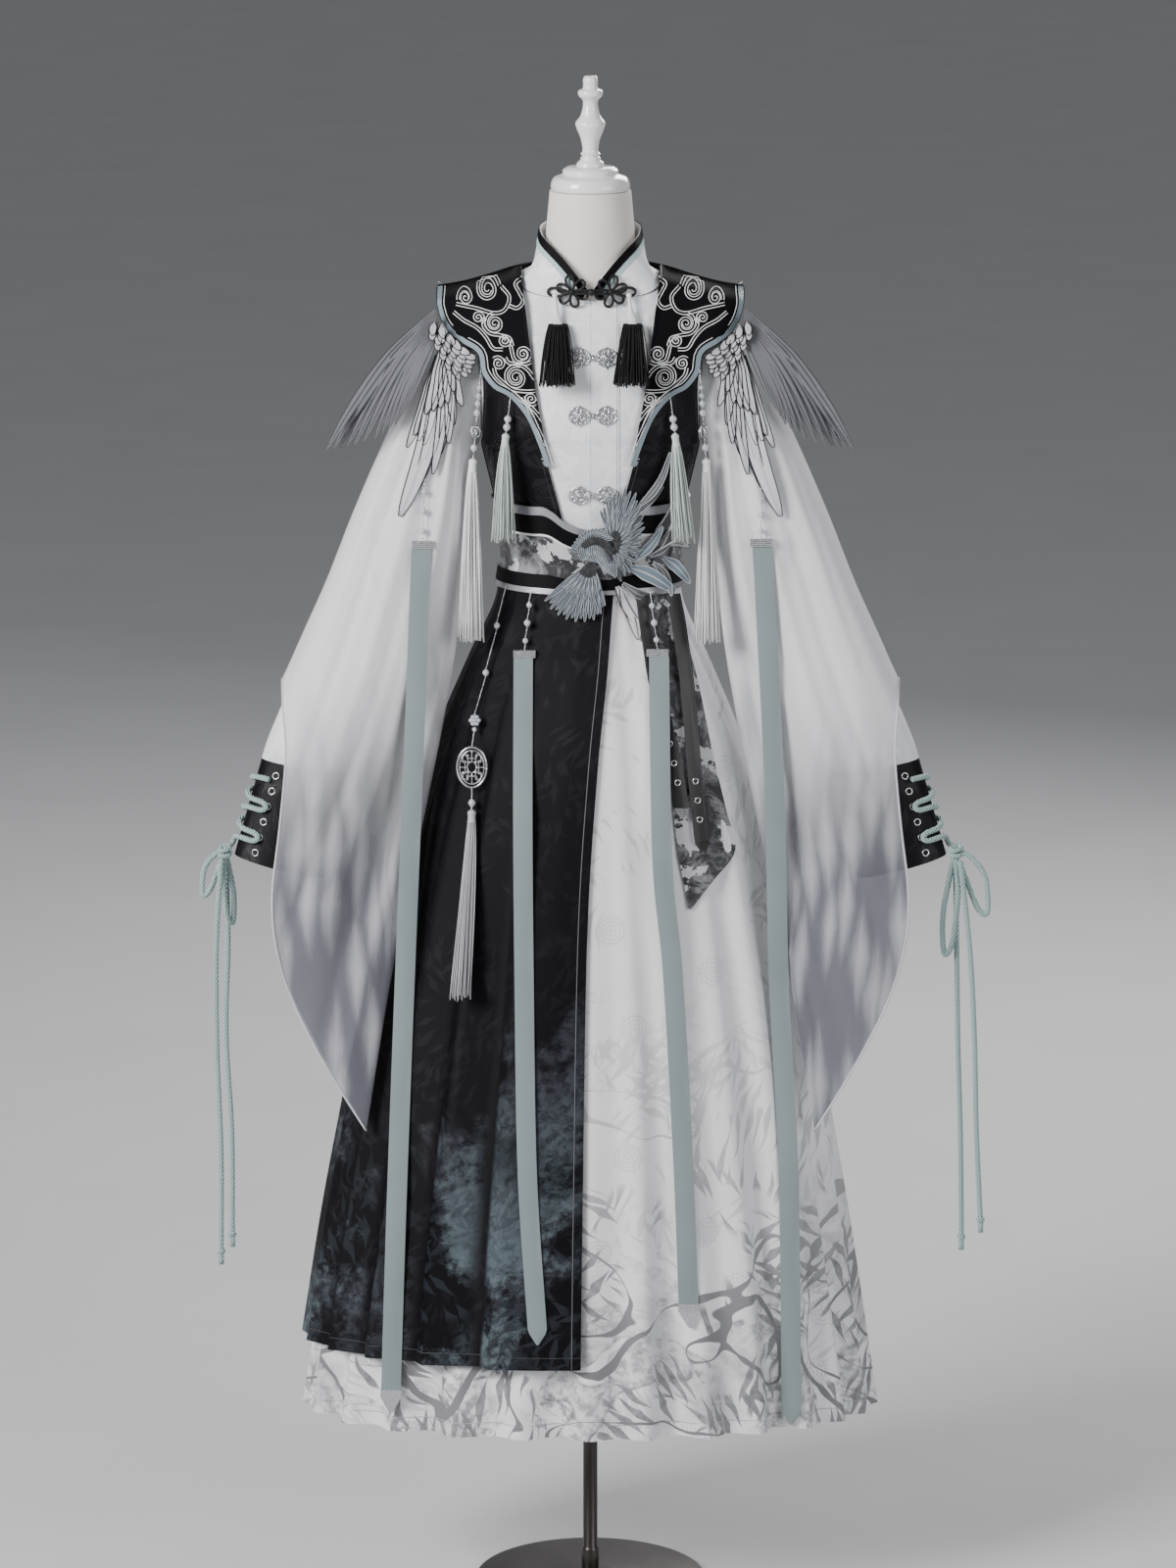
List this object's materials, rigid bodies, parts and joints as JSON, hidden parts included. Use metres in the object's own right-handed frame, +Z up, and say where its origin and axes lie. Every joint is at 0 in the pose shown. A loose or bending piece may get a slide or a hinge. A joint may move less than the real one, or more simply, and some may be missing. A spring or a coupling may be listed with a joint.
{
  "type": "chinese-style dress set on a limbless dress form with stand",
  "caption": "Layered Chinese-style dress, cloud shoulder collar, wide sleeves, belt, pleated overskirt, tassels and ribbons, on a limbless dress form with stand.",
  "frame": {"origin": "centre of the round base's underside, on the pole's axis", "axes": "+Z up along the pole, the dress's front towards -Y, the wearer's left towards +X"},
  "size_m": [0.9894, 0.4219, 1.9566],
  "materials": {
    "white_satin": "white jacquard satin",
    "ink_brocade": "grey ink-wash brocade",
    "black_satin": "plum-black jacquard satin",
    "tassel_pale_green": "pale green tassel yarn",
    "tassel_white": "white tassel yarn",
    "black_velvet": "black velvet-like cloth",
    "tassel_black": "black tassel yarn",
    "organza": "sheer dark organza",
    "grey_blue_thread": "grey-blue embroidery",
    "dark_metal": "near-black painted steel",
    "white_lacquer": "glossy white lacquer",
    "form_cloth": "linen-like jersey, ivory",
    "black_frog_cord": "black satin cord",
    "seafoam_cord": "pale sea-green braided cord",
    "silver_metal": "aged silver metal",
    "chiffon": "white chiffon shading to grey",
    "pearl": "grey pearl",
    "grey_teal_ribbon": "grey-teal woven ribbon",
    "black_leather": "black leather-like strap"
  },
  "bodies": {
    "root": {"arm_sleeve_left": "white_satin", "arm_sleeve_right": "white_satin", "belt": "ink_brocade", "black_overskirt": "black_satin", "chest_tassel_inner_left": "tassel_pale_green", "chest_tassel_inner_right": "tassel_pale_green", "chest_tassel_outer_left": "tassel_white", "chest_tassel_outer_right": "tassel_white", "cloud_collar_back": "black_velvet", "cloud_collar_left": "black_velvet", "cloud_collar_right": "black_velvet", "collar_tassel_left": "tassel_black", "collar_tassel_right": "tassel_black", "cuff_left": "black_satin", "cuff_right": "black_satin", "feather_wing_left": "organza", "feather_wing_right": "organza", "flower_applique": "grey_blue_thread", "form_base": "dark_metal", "form_finial": "white_lacquer", "form_neck_cap": "white_lacquer", "form_pole": "dark_metal", "form_torso": "form_cloth", "knot_frog": "black_frog_cord", "lacing_left": "seafoam_cord", "lacing_right": "seafoam_cord", "lacing_tail_left_inner": "seafoam_cord", "lacing_tail_left_outer": "seafoam_cord", "lacing_tail_right_inner": "seafoam_cord", "lacing_tail_right_outer": "seafoam_cord", "metal_clasp_1": "silver_metal", "metal_clasp_2": "silver_metal", "metal_clasp_3": "silver_metal", "overlay_sleeve_left": "chiffon", "overlay_sleeve_right": "chiffon", "pendant_chain": "silver_metal", "pendant_oval": "silver_metal", "pendant_tassel": "pearl", "sash_panel": "ink_brocade", "shirt_back": "white_satin", "shirt_front_left": "white_satin", "shirt_front_right": "white_satin", "skirt_ribbon_left": "grey_teal_ribbon", "skirt_ribbon_left_chain": "silver_metal", "skirt_ribbon_right": "grey_teal_ribbon", "skirt_ribbon_right_chain": "silver_metal", "sleeve_ribbon_left": "grey_teal_ribbon", "sleeve_ribbon_left_chain": "silver_metal", "sleeve_ribbon_right": "grey_teal_ribbon", "sleeve_ribbon_right_chain": "silver_metal", "stand_collar": "white_satin", "strap_inner": "black_leather", "strap_outer": "black_leather", "vest_back": "black_satin", "vest_front_left": "black_satin", "vest_front_right": "black_satin", "white_skirt_back": "white_satin", "white_skirt_front": "white_satin"}
  },
  "joints": []
}
